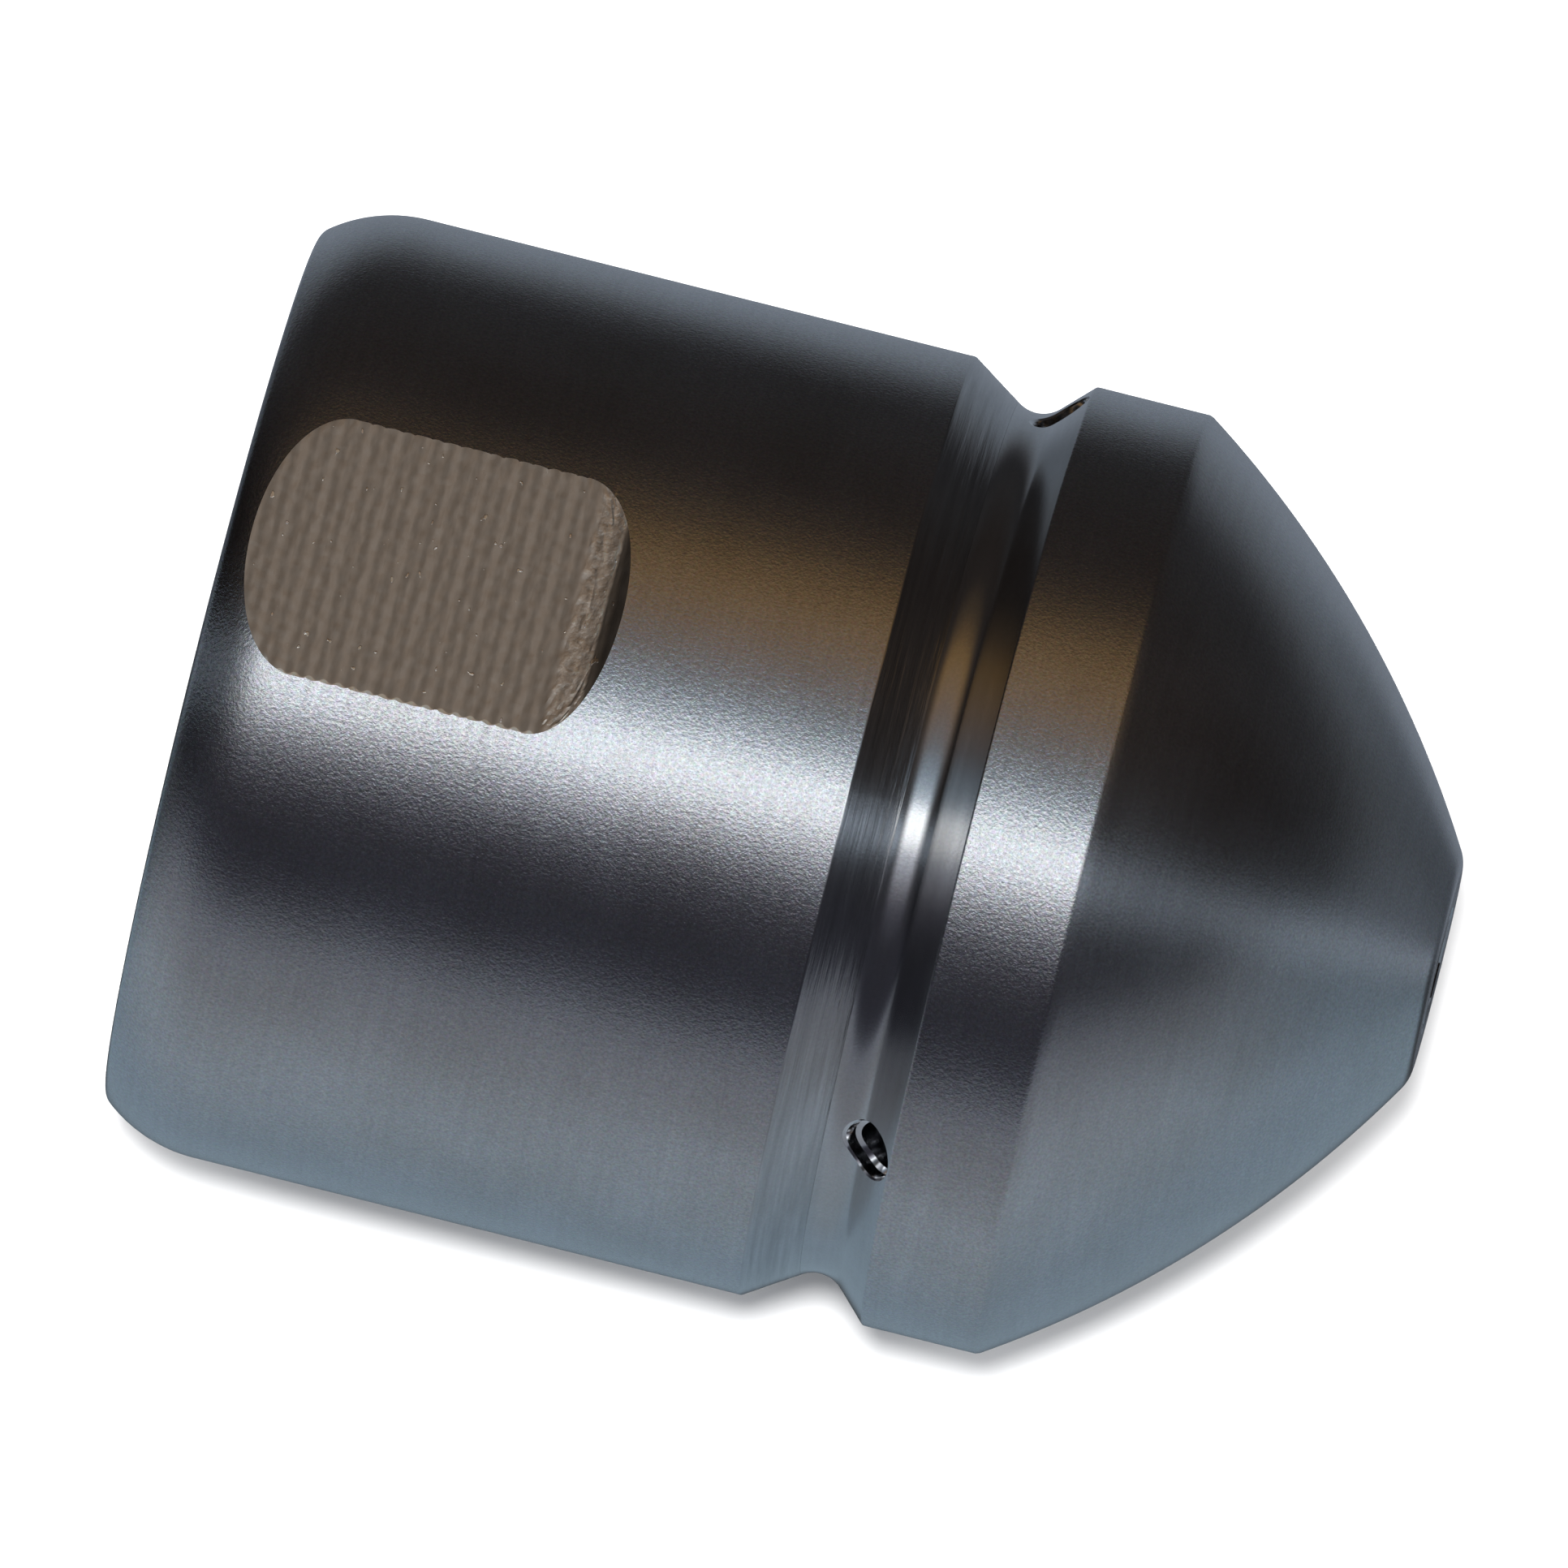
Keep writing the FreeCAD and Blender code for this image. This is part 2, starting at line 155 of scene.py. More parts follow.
class Shade:
    """An output socket of a node tree, with arithmetic that adds Math nodes."""

    def __init__(self, tree, socket=None):
        self.tree, self.socket = tree, socket

    def node(self, kind, settings=None, inputs=None, out=0):
        """Adds a node, gives it its settings and then its inputs, and returns one of its outputs."""
        made = self.tree.nodes.new(kind)
        for name, value in (settings or {}).items():
            if name == "stops":
                elements = made.color_ramp.elements
                while len(elements) < len(value):
                    elements.new(1.0)
                for element, (place, colour) in zip(elements, value):
                    element.position = place
                    element.color = (*colour, 1) if hasattr(colour, "__len__") else (colour,) * 3 + (1,)
            else:
                setattr(made, name, value)
        for name, value in (inputs or {}).items():
            if isinstance(value, Shade):
                self.tree.links.new(value.socket, made.inputs[name])
            else:
                made.inputs[name].default_value = value
        return Shade(self.tree, made.outputs[out])

    def math(self, operation, *values):
        """A Math node's result."""
        return self.node("ShaderNodeMath", {"operation": operation}, dict(enumerate(values)))

    def vector(self, operation, *values, scale=None):
        """A Vector Math node's result; scale is the number that SCALE multiplies by."""
        inputs = dict(enumerate(values))
        if scale is not None:
            inputs["Scale"] = scale
        return self.node("ShaderNodeVectorMath", {"operation": operation}, inputs)

    def __add__(self, other):
        return self.math("ADD", self, other)

    def __sub__(self, other):
        return self.math("SUBTRACT", self, other)

    def __rsub__(self, other):
        return self.math("SUBTRACT", other, self)

    def __mul__(self, other):
        return self.math("MULTIPLY", self, other)

    def __truediv__(self, other):
        return self.math("DIVIDE", self, other)

    __radd__, __rmul__ = __add__, __mul__

    def steps(self, low, high):
        """0 below low, 1 above high and a smooth rise between."""
        return self.node(
            "ShaderNodeMapRange", {"interpolation_type": "SMOOTHSTEP"},
            {"Value": self, "From Min": low, "From Max": high},
        )


def start_material(name, **uniform):
    """A new material with its Principled shader, whose uniform values are set on its own sockets."""
    material = bpy.data.materials.new(name)
    material.use_nodes = True
    tree = material.node_tree
    shader = tree.nodes["Principled BSDF"]
    for socket, value in uniform.items():
        shader.inputs[socket.replace("_", " ")].default_value = value
    return material, Shade(tree), shader


def feed(shader, tree, **links):
    """Links outputs to the shader's sockets of the same names."""
    for socket, value in links.items():
        tree.tree.links.new(value.socket, shader.inputs[socket.replace("_", " ")])


def millimetres(tree, stretch=(1, 1, 1)):
    """The place on the piece in millimetres, each axis multiplied by its stretch."""
    place = tree.node("ShaderNodeTexCoord", out=3)
    return tree.node("ShaderNodeMapping", None, {"Vector": place, "Scale": tuple(s / MM for s in stretch)})


def noise(tree, vector, scale, detail=2.0, roughness=0.5, out=0):
    """A Noise node; output 0 is one number and output 1 is three."""
    return tree.node(
        "ShaderNodeTexNoise", None,
        {"Vector": vector, "Scale": scale, "Detail": detail, "Roughness": roughness}, out,
    )


def split(tree, vector):
    """The x, y and z of a vector."""
    return [tree.node("ShaderNodeSeparateXYZ", None, {"Vector": vector}, out) for out in range(3)]


def turned_steel(name, roughness, grain, line_depth, tone=0.57, speck=0.5, lines=0.1):
    """Turned stainless steel: blasted grain of a given depth over fine rings round the X axis.

    Depths are in millimetres.  Rings are noise stretched round the part, so that they run on
    for a good way and then fade.  The grain is two sizes of noise, and speck says how much it
    lightens and darkens the steel; its three colour channels differ a little, as an etched skin does.
    """
    material, tree, shader = start_material(name, Metallic=1.0)
    place = millimetres(tree)
    rings = millimetres(tree, (1, 0.04, 0.04))
    coarse_rings = noise(tree, rings, 6.0, 3.0, 0.6)
    fine_rings = noise(tree, rings, 22.0, 2.0, 0.6)
    fine_grain = noise(tree, place, 14.0, 3.0, 0.65)
    soft_grain = noise(tree, place, 6.0, 2.0, 0.5)
    skin = noise(tree, place, 11.0, 1.0, 0.5, 1)
    clouds = noise(tree, place, 0.35, 3.0, 0.55)
    height = line_depth * (0.6 * coarse_rings + 0.4 * fine_rings)
    height += grain * (0.75 * fine_grain + 0.25 * soft_grain)
    bump = tree.node("ShaderNodeBump", None, {"Height": height, "Distance": MM, "Strength": 1.0})
    rough = roughness + 0.06 * (clouds - 0.5) + 0.05 * (fine_rings - 0.5)
    colour = tree.node(
        "ShaderNodeMix", {"data_type": "RGBA"},
        {"Factor": clouds.steps(0.3, 0.7), "A": (tone * 0.95, tone * 0.945, tone * 0.94, 1),
         "B": (tone * 1.03, tone * 1.035, tone * 1.05, 1)}, 2,
    )
    shade = (1 + speck * (fine_grain - 0.5)) * (1 + lines * (coarse_rings - 0.5) * 2)
    tint = tree.vector("MULTIPLY_ADD", skin, (0.3 * speck,) * 3, (1 - 0.15 * speck,) * 3)
    colour = tree.vector("SCALE", tree.vector("MULTIPLY", colour, tint), scale=shade)
    feed(shader, tree, Base_Color=colour, Roughness=rough, Normal=bump)
    return material


satin_steel = turned_steel("satin_steel", 0.19, 0.0105, 0.0006, 0.57, 0.9)
flank_steel = turned_steel("coarse_turned_steel", 0.17, 0.001, 0.011, 0.5, 0.3, 0.45)
bore_steel = turned_steel("bored_steel", 0.2, 0.001, 0.003, 0.5, 0.2)

material, tree, shader = start_material("milled_flat_steel", Metallic=1.0)
place = millimetres(tree)
across = millimetres(tree, (1, 0.18, 1))
scuffs = noise(tree, across, 9.0, 3.0, 0.6)
dashes = noise(tree, millimetres(tree, (1, 0.35, 1)), 7.0, 1.0, 0.5)
mottle = noise(tree, place, 6.0, 3.0, 0.6)
specks = noise(tree, millimetres(tree, (1, 0.6, 1)), 6.5, 1.0, 0.5).steps(0.74, 0.77)
x_place, y_place, z_place = split(tree, place)
turn = (x_place + y_place * ridge_lean + ridge_start) / ridge_pitch
double = tree.math("COSINE", math.pi * turn)
single = tree.math("COSINE", 2 * math.pi * turn)
# The base colour is lighter along the cutter's ridges and darker in its valleys: painted highlight and
# painted shade for the way the ridges catch the light, broken up by random dashes and scuffs.
ridge_shade_and_dashes = 0.5 + 0.42 * single + 0.2 * double + 1.5 * (dashes - 0.5) + 0.5 * (scuffs - 0.5)
climb = tree.math("ABSOLUTE", z_place) - flat_z
steep = climb.steps(0.22, 0.27)
crumbled = climb.steps(0.025, 0.06) * (1 - steep)
crumbs = noise(tree, place, 7.0, 3.0, 0.65)
height = 0.004 * scuffs + 0.003 * mottle + 0.006 * specks + crumb_height * crumbled * crumbs
bump = tree.node("ShaderNodeBump", None, {"Height": height, "Distance": MM, "Strength": 1.0})
rough = 0.4 + 0.1 * (mottle - 0.5) - 0.15 * specks
colour = tree.node(
    "ShaderNodeMix", {"data_type": "RGBA"},
    {"Factor": ridge_shade_and_dashes, "A": (0.435, 0.388, 0.33, 1), "B": (0.64, 0.572, 0.49, 1)}, 2,
)
shade = 1 + 0.5 * crumbled + 0.25 * climb.steps(0.06, 0.22)
shade = shade + 1.9 * crumbled * (crumbs - 0.5) + 1.1 * specks
# Painted shade: the steep end of the cutter's ramp is darkened in the base colour.
shade *= 1 - 0.6 * steep
# Along the edge where the cutter came out, one scallop to a pass, a thin line is painted much lighter: a
# painted highlight for the glint on the cutter's burr.
burr_glint = (0 - y_place + 0.035 * single - 3.19).steps(0, 0.03) * (1 - climb.steps(0.02, 0.06))
shade += 0.9 * burr_glint
colour = tree.vector("SCALE", colour, scale=shade)
feed(shader, tree, Base_Color=colour, Roughness=rough, Normal=bump)
milled_steel = material


def round_radius(x):
    """The barrel's radius: an arc of round_r up to round_x, then the full radius."""
    back = np.clip(round_x - np.asarray(x, float), 0, None)
    return barrel_r - round_r + np.sqrt(round_r**2 - back**2)


climb_full = barrel_r - flat_z
ramp_x = flat_end - math.sqrt(2 * cutter_r * climb_full - climb_full**2)


def rear_outline(y):
    """Where the flat leaves the rear rounding at this y: the radius is sqrt(flat_z^2 + y^2) there."""
    rise = np.sqrt(flat_z**2 + y**2) - (barrel_r - round_r)
    return round_x - np.sqrt(round_r**2 - np.clip(rise, 0, round_r) ** 2)


def front_outline(y):
    """Where the cutter's arc has climbed to the barrel at this y, by sqrt(barrel_r^2 - y^2) - flat_z."""
    climb = np.clip(np.sqrt(barrel_r**2 - y**2) - flat_z, 0, None)
    return ramp_x + np.sqrt(2 * cutter_r * climb - climb**2)


def flat_height(x, y):
    """The flat's z: its plane, then the cutter's arc up to the barrel, and over both the cutter's passes.

    A pass is a shallow scoop |sin|, with every second one lower, and all fade out at the outlines.
    """
    ramp = cutter_r - np.sqrt(cutter_r**2 - np.clip(x - ramp_x, 0, 2.5) ** 2)
    turn = (x + ridge_start + y * ridge_lean) / ridge_pitch
    wander = 0.12 * np.sin(1.7 * y + 2.1 * np.floor(turn))
    passes = 1 - np.abs(np.sin(math.pi * (turn + wander * 0.5)))
    passes = passes * (0.7 + 0.3 * np.cos(math.pi * np.floor(turn)))
    rough = 0.25 * np.sin(9.1 * x + 4.3 * y) * np.sin(3.7 * x - 11.3 * y)
    crumbs = np.sin(13.0 * x + 5.0 * np.sin(7.0 * y)) * np.sin(17.0 * y + 3.0 * np.sin(9.0 * x))
    crumbled = smooth((x - 8.2) / 0.3) * smooth((9.25 - x) / 0.15)
    near = smooth((x - rear_outline(y)) / 0.1) * smooth((front_outline(y) - x) / 0.1)
    marks = ridge_height * (passes + rough) * (1 - crumbled) + crumb_height * crumbled * crumbs
    return flat_z + ramp + near * marks


flat_columns, side_columns = 48, 80
u = np.linspace(-1, 1, flat_columns + 1)[:-1]
w = np.linspace(0, 1, side_columns + 1)[:-1]
corner_rear_x, corner_front_x = float(rear_outline(corner_y)), float(front_outline(corner_y))


def half_ring(x, radius, edge_angle, flat_angles, flat_x):
    """One row over half of the barrel: the flat's columns and then the side's, each (x, y, z)."""
    side = edge_angle + w * (math.pi - 2 * edge_angle)
    angle = np.concatenate([flat_angles, side])
    xs = np.concatenate([flat_x, np.full(side_columns, x)])
    rs = radius(xs) if callable(radius) else np.full(len(xs), radius)
    return np.stack([xs, rs * np.sin(angle), rs * np.cos(angle)], axis=1)


edge_centre = barrel_r - round_r + math.sqrt((round_r - edge_r) ** 2 - (round_x - edge_r) ** 2)
edge_end = math.degrees(math.atan2(edge_centre - (barrel_r - round_r), edge_r - round_x))
edge_end_x = edge_r + edge_r * math.cos(math.radians(edge_end))

lead_angles = np.arctan2(u * corner_y, flat_z)
lead_edge = math.atan2(corner_y, flat_z)
tail_angles = np.arcsin(u * corner_y / barrel_r)
tail_edge = math.asin(corner_y / barrel_r)

# The rear face and its rounded edge.
rear_rows = np.concatenate([
    line((0, mouth_r), (0, edge_centre), 6),
    arc((edge_r, edge_centre), edge_r, 180, edge_end, 6),
])
rows = [half_ring(x, r, lead_edge, lead_angles, np.full(flat_columns, x)) for x, r in rear_rows]
# The rear rounding, whose rows bend to end on the flat's rear outline.
for t in np.linspace(0, 1, 11)[:-1]:
    x = edge_end_x + (corner_rear_x - edge_end_x) * t
    flat_x = edge_end_x + (rear_outline(u * corner_y) - edge_end_x) * t
    rows.append(half_ring(x, round_radius, lead_edge, lead_angles, flat_x))
first_flat_row = len(rows)
# The flat, from its rear corners to its front ones.
for x in np.linspace(corner_rear_x, corner_front_x, 160):
    edge_y = math.sqrt(round_radius(x) ** 2 - flat_z**2)
    for _ in range(3):
        edge_y = math.sqrt(max(round_radius(x) ** 2 - float(flat_height(x, edge_y)) ** 2, 1e-6))
    y = u * edge_y
    start = (rear_outline(u * corner_y) - corner_rear_x) * np.clip(1 - (x - corner_rear_x) / 3, 0, 1)
    end = (front_outline(u * corner_y) - corner_front_x) * np.clip(1 - (corner_front_x - x) / 3, 0, 1)
    flat_x = x + start + end
    angle = math.atan2(edge_y, float(flat_height(x, edge_y)))
    row = half_ring(x, round_radius, angle, np.zeros(flat_columns), flat_x)
    row[:flat_columns, 1] = y
    row[:flat_columns, 2] = flat_height(flat_x, y)
    rows.append(row)
last_flat_row = len(rows) - 1
# The plain barrel in front of the flat, and the broken edge where the groove starts.
break_r = 0.12
break_x = break_r * math.tan(rear_flank / 2)
for t in np.linspace(0, 1, 10)[1:]:
    x = corner_front_x + (groove_x - break_x - corner_front_x) * t
    flat_x = front_outline(u * corner_y)
    flat_x = flat_x + (groove_x - break_x - flat_x) * t
    rows.append(half_ring(x, round_radius, tail_edge, tail_angles, flat_x))
first_flank_row = len(rows)
flank_rows, flank_wave = 40, 0.0032
flank_x = np.linspace(groove_x + break_x * math.cos(rear_flank), seam_x - seam_half_gap, flank_rows)
flank_r = barrel_r - (flank_x - groove_x) * math.tan(rear_flank)
draw = np.random.default_rng(31)
wave = np.convolve(draw.normal(0, flank_wave, flank_rows), (0.25, 0.5, 0.25), "same")
flank_r[1:-1] += wave[1:-1]
seam_r = barrel_r - (seam_x - groove_x) * math.tan(rear_flank)
flank_slope = math.degrees(rear_flank)
broken_edge = arc((groove_x - break_x, barrel_r - break_r), break_r, 90, 90 - flank_slope, 5)[1:]
inner_rows = np.concatenate([
    broken_edge,
    np.stack([flank_x, flank_r], axis=1),
    line((seam_x, seam_r - seam_notch), (seam_x, spigot_bore_r + 0.2), 3),
    line((seam_x, spigot_bore_r + 0.2), (seam_x - 0.2, spigot_bore_r), 2),
    line((seam_x - 0.2, spigot_bore_r), (relief_end, spigot_bore_r), 5),
    line((relief_end, spigot_bore_r), (relief_end, relief_r), 2),
    line((relief_end, relief_r), (thread_end, relief_r), 3),
    line((thread_end, relief_r), (thread_end, thread_r + 0.3), 2),
])
last_flank_row = first_flank_row + len(broken_edge) + flank_rows
rows += [half_ring(x, r, tail_edge, tail_angles, np.full(flat_columns, x)) for x, r in inner_rows]
half = np.array(rows)
points = np.concatenate([half, half * (1, -1, -1)], axis=1)

# The thread: its radius rises and falls as half a cosine with x, a turn later at each angle.
ring_angle = np.arctan2(points[-1, :, 1], points[-1, :, 2])
thread_x = np.linspace(thread_end, 0.03, 100)[:, None]
phase = 2 * math.pi * thread_x / thread_pitch + ring_angle[None, :]
depth = thread_depth * smooth((thread_x - 0.1) / 0.9) * smooth((thread_end + 0.5 - thread_x) / 0.6)
thread = thread_r + depth * (0.5 - 0.5 * np.cos(phase))
mouth = mouth_r - (mouth_r - thread_r) * thread_x / mouth_x
thread = np.maximum(thread, np.broadcast_to(mouth, thread.shape))
thread = np.stack([
    np.broadcast_to(thread_x, thread.shape), thread * np.sin(ring_angle), thread * np.cos(ring_angle),
], axis=2)
points = np.concatenate([points, thread])

row_count, column_count = points.shape[:2]
# Regions: 0 barrel, 1 flats, 2 groove flank, 3 bore and thread.
regions = np.zeros((row_count, column_count), int)
half_columns = flat_columns + side_columns
is_flat = np.arange(column_count) % half_columns < flat_columns
regions[first_flat_row:last_flat_row, is_flat] = 1
regions[first_flank_row:last_flank_row] = 2
regions[last_flank_row:] = 3
body = make_piece(
    "nozzle_body_turned", points, loop_faces(row_count, column_count),
    [satin_steel, milled_steel, flank_steel, bore_steel], regions, sharp=11.0,
)
soften(body, 0.3, thread_end - 0.1, relief_r)
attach(body, "root")
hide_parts("nozzle_body")

# ---------------------------------------------------------------- jet_head
# The head is turned in one piece: a spigot that screws into the barrel, the front half of the
# V groove, a land and the ogive nose.  Three jet ports are drilled square to the groove's
# front flank into the water chamber, and the tip is bored for the front jet.

head_low, head_high = (np.array(c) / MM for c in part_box("jet_head"))
head_start, tip_x = head_low[0], head_high[0]
land_start, land_end = 18.8, 21.6
front_flank = math.radians(45)
root_r = 0.8
root_centre = (
    seam_x + root_r * math.sin(rear_flank),
    barrel_r - (seam_x - groove_x) * math.tan(rear_flank) + root_r * math.cos(rear_flank),
)
root_end_x = root_centre[0] + root_r * math.sin(front_flank)
nose_r, tip_hole_r, tip_edge = 27.0, 1.503, 1.0
tip_r = 2.68
spigot_r, chamfer = 7.95, 0.3
seal_start, seal_end, seal_r = 12.8, 14.3, 6.75
chamber_r, chamber_end = 5.0, 25.5
drill_end = chamber_end + (chamber_r - tip_hole_r) / math.tan(math.radians(59))

chord = np.array([tip_x - land_end, tip_r - barrel_r])
chord_length = np.hypot(*chord)
to_left = np.array([-chord[1], chord[0]]) / chord_length
nose_centre = (
    np.array([land_end, barrel_r]) + chord / 2 - to_left * math.sqrt(nose_r**2 - (chord_length / 2) ** 2)
)
tip_centre = np.array([tip_x - tip_edge, 0.0])
along = tip_centre[0] - nose_centre[0]
tip_centre[1] = nose_centre[1] + math.sqrt((nose_r - tip_edge) ** 2 - along**2)
tip_turn = math.degrees(math.atan2(*(tip_centre - nose_centre)[::-1]))

land_edge_r, land_edge_x = 0.1, land_start + 0.0414
land_break, land_drop = 0.045, 0.012


def groove_radius(x):
    """The head's radius in the groove: the root's arc, then the front flank at its own slope."""
    x = np.asarray(x, float)
    root = root_centre[1] - np.sqrt(np.clip(root_r**2 - (x - root_centre[0]) ** 2, 0, None))
    return np.where(x < root_end_x, root, barrel_r - (land_start - x) * math.tan(front_flank))


window_rows, window_columns, plain_columns = 24, 14, 96
port_turns = np.radians([60.0, 180.0, 300.0])
mouth_window, chamber_window = (17.36, 18.765), (25.36, 22.92)
window_x = np.linspace(*mouth_window, window_rows + 1)
root_x = np.linspace(seam_x + seam_half_gap, window_x[0], 5)[:-1]
nose_start = math.degrees(math.acos((land_end + 0.05 - nose_centre[0]) / nose_r))
outer = [
    line((seam_x, spigot_r), (seam_x, seam_r - seam_notch), 3, True),
    np.stack([root_x, groove_radius(root_x)], axis=1),
    np.stack([window_x, groove_radius(window_x)], axis=1),
    arc((land_edge_x, barrel_r - land_edge_r), land_edge_r, 135, 90, 4),
    line((land_edge_x, barrel_r), (land_start + 0.1, barrel_r), 1),
    line((land_start + 0.1, barrel_r), (land_end - 0.08, barrel_r), 6),
    line((land_end - 0.08, barrel_r), (land_end - land_break, barrel_r), 1),
    line((land_end - land_break, barrel_r), (land_end, barrel_r - land_drop), 1),
    arc(nose_centre, nose_r, nose_start, tip_turn, 40),
    arc(tip_centre, tip_edge, tip_turn, 0, 12),
    line((tip_x, tip_centre[1]), (tip_x, tip_hole_r + 0.06), 5),
    line((tip_x, tip_hole_r + 0.06), (tip_x - 0.06, tip_hole_r), 1),
    line((tip_x - 0.06, tip_hole_r), (drill_end, tip_hole_r), 4),
    line((drill_end, tip_hole_r), (chamber_end, chamber_r), 6),
    line((chamber_end, chamber_r), (chamber_window[0], chamber_r), 1),
    line((chamber_window[0], chamber_r), (chamber_window[1], chamber_r), window_rows),
    line((chamber_window[1], chamber_r), (head_start, chamber_r), 12),
    line((head_start, chamber_r), (head_start, spigot_r - chamfer), 3),
    line((head_start, spigot_r - chamfer), (head_start + chamfer, spigot_r), 1),
    line((head_start + chamfer, spigot_r), (seal_start, spigot_r), 2),
    line((seal_start, spigot_r), (seal_start, seal_r), 2),
    line((seal_start, seal_r), (seal_end, seal_r), 3),
    line((seal_end, seal_r), (seal_end, spigot_r), 2),
    line((seal_end, spigot_r), (seam_x, spigot_r), 4),
]
starts = np.cumsum([0] + [len(part) for part in outer])
profile = np.concatenate(outer)
mouth_row, land_row, nose_row, bore_row, chamber_row, passage_row = starts[[2, 3, 8, 11, 15, 16]]

# A port's window is 12 degrees wide in the groove and 23 in the chamber, so the columns spread
# out between the two.
turning_rows = (0, nose_row, chamber_row - 2, passage_row + 2, len(profile))
half_window = np.radians(np.interp(np.arange(len(profile)), turning_rows, (6, 6, 11.5, 11.5, 6)))
in_window = np.linspace(-1, 1, window_columns + 1)[:-1]
in_plain = np.linspace(0, 1, plain_columns + 1)[:-1]
sector = np.concatenate([
    half_window[:, None] * in_window,
    half_window[:, None] + in_plain * (math.radians(120) - 2 * half_window[:, None]),
], axis=1)
angles = np.concatenate([sector + turn for turn in port_turns], axis=1)
points = np.stack([
    np.broadcast_to(profile[:, :1], angles.shape),
    profile[:, 1:] * np.sin(angles),
    profile[:, 1:] * np.cos(angles),
], axis=2)
row_count, column_count = angles.shape
sector_columns = window_columns + plain_columns
faces = loop_faces(row_count, column_count)
# Regions: 0 land, 1 groove, 2 nose, 3 bores and spigot, 4 port lips.
regions = np.zeros((row_count, column_count), int)
regions[:land_row] = 1
regions[nose_row:bore_row] = 2
regions[bore_row:] = 3
regions[:starts[1]] = 3
keep = np.ones((row_count, column_count), bool)
for number in range(3):
    columns = slice(number * sector_columns, number * sector_columns + window_columns)
    keep[mouth_row:mouth_row + window_rows, columns] = False
    keep[chamber_row:chamber_row + window_rows, columns] = False
all_points, all_faces, all_regions = [points.reshape(-1, 3)], [faces[keep]], [regions[keep]]

port_r, port_x = 0.73, 18.22
lip_break = 0.045
# Down each port: a polished lip, a seat that narrows it, a throat, and the straight drilling.
throat_share = np.array([0, 0.034, 0.047, 0.16, 0.177, 0.3, 0.4, 0.5, 0.6, 0.7, 0.8, 0.9, 1.0])
throat_r = port_r - np.array([0, 0, 0.1, 0.1, 0, 0, 0, 0, 0, 0, 0, 0, 0])
port_place_r = float(groove_radius(port_x))


def port_frame(turn):
    """The port's mouth centre, the directions up the flank and round the head, and its outward axis."""
    radial = np.array([0, math.sin(turn), math.cos(turn)])
    forward = np.array([1.0, 0, 0])
    lean = math.cos(front_flank)
    return (
        port_x * forward + port_place_r * radial,
        lean * (forward + radial),
        np.array([0, math.cos(turn), -math.sin(turn)]),
        lean * (radial - forward),
    )


def window_ring(row, step, number):
    """The points round a window, as numbers in the head's grid: across, forward, back across, back."""
    first = number * sector_columns
    near = row + np.zeros(window_columns, int)
    across = first + np.arange(window_columns)
    along = np.arange(window_rows) * step
    return np.concatenate([
        near * column_count + across,
        (row + along) * column_count + first + window_columns,
        (near + window_rows * step) * column_count + across[::-1] + 1,
        (row + window_rows * step - along) * column_count + first,
    ])


def settle(centre, forward, across, axis, flat, low, high, radius):
    """Slides points along the port's axis until they lie on the turned surface, by halving 50 times."""
    base = centre + flat[..., :1] * forward + flat[..., 1:] * across
    low, high = np.full(flat.shape[:-1], float(low)), np.full(flat.shape[:-1], float(high))
    for _ in range(50):
        middle = (low + high) / 2
        at = base + middle[..., None] * axis
        outside = np.hypot(at[..., 1], at[..., 2]) > radius(at[..., 0])
        low, high = np.where(outside, low, middle), np.where(outside, middle, high)
    return base + low[..., None] * axis, low


for number, turn in enumerate(port_turns):
    centre, forward, across, axis = port_frame(turn)
    ring = window_ring(mouth_row, 1, number)
    inner_ring = window_ring(chamber_row + window_rows, -1, number)
    grid = all_points[0]
    plane = np.stack([forward, across], axis=1)
    flat = (grid[ring] - centre) @ plane
    inner_flat = (grid[inner_ring] - centre) @ plane
    direction = flat / np.hypot(*flat.T)[:, None]
    inner_direction = inner_flat / np.hypot(*inner_flat.T)[:, None]
    share = np.linspace(0, 1, 8)[1:, None, None]
    spread = (1 - share) * flat + share * direction * (port_r + lip_break)
    mouth_points, _ = settle(centre, forward, across, axis, spread, -1.6, 1.6, groove_radius)
    _, lip_depth = settle(centre, forward, across, axis, direction * port_r, -1.6, 1.6, groove_radius)
    lip_depth -= lip_break
    turn_share = throat_share[:, None, None]
    around = (1 - turn_share) * direction + turn_share * inner_direction
    around = around / np.linalg.norm(around, axis=2)[..., None] * throat_r[:, None, None]
    _, inner_depth = settle(centre, forward, across, axis, around[-1], -10.5, -7, lambda x: chamber_r)
    depth = (1 - turn_share[..., 0]) * lip_depth + turn_share[..., 0] * inner_depth
    tunnel = centre + around[..., :1] * forward + around[..., 1:] * across + depth[..., None] * axis
    share = np.linspace(0, 1, 6)[1:-1, None, None]
    spread = (1 - share) * around[-1] + share * inner_flat
    chamber_points, _ = settle(centre, forward, across, axis, spread, -10.8, -6.5, lambda x: chamber_r)
    made = np.concatenate([mouth_points, tunnel, chamber_points])
    first = sum(len(p) for p in all_points)
    own_numbers = first + np.arange(made[..., 0].size).reshape(made.shape[:2])
    numbers = np.concatenate([ring[None], own_numbers, inner_ring[None]])
    beside = np.roll(numbers, -1, axis=1)
    quads = np.stack([numbers[:-1], numbers[1:], beside[1:], beside[:-1]], axis=2)
    finish = np.full(quads.shape[:2], 3)
    finish[:7] = 1
    finish[7:11] = 4
    all_points.append(made.reshape(-1, 3))
    all_faces.append(quads.reshape(-1, 4))
    all_regions.append(finish.ravel())

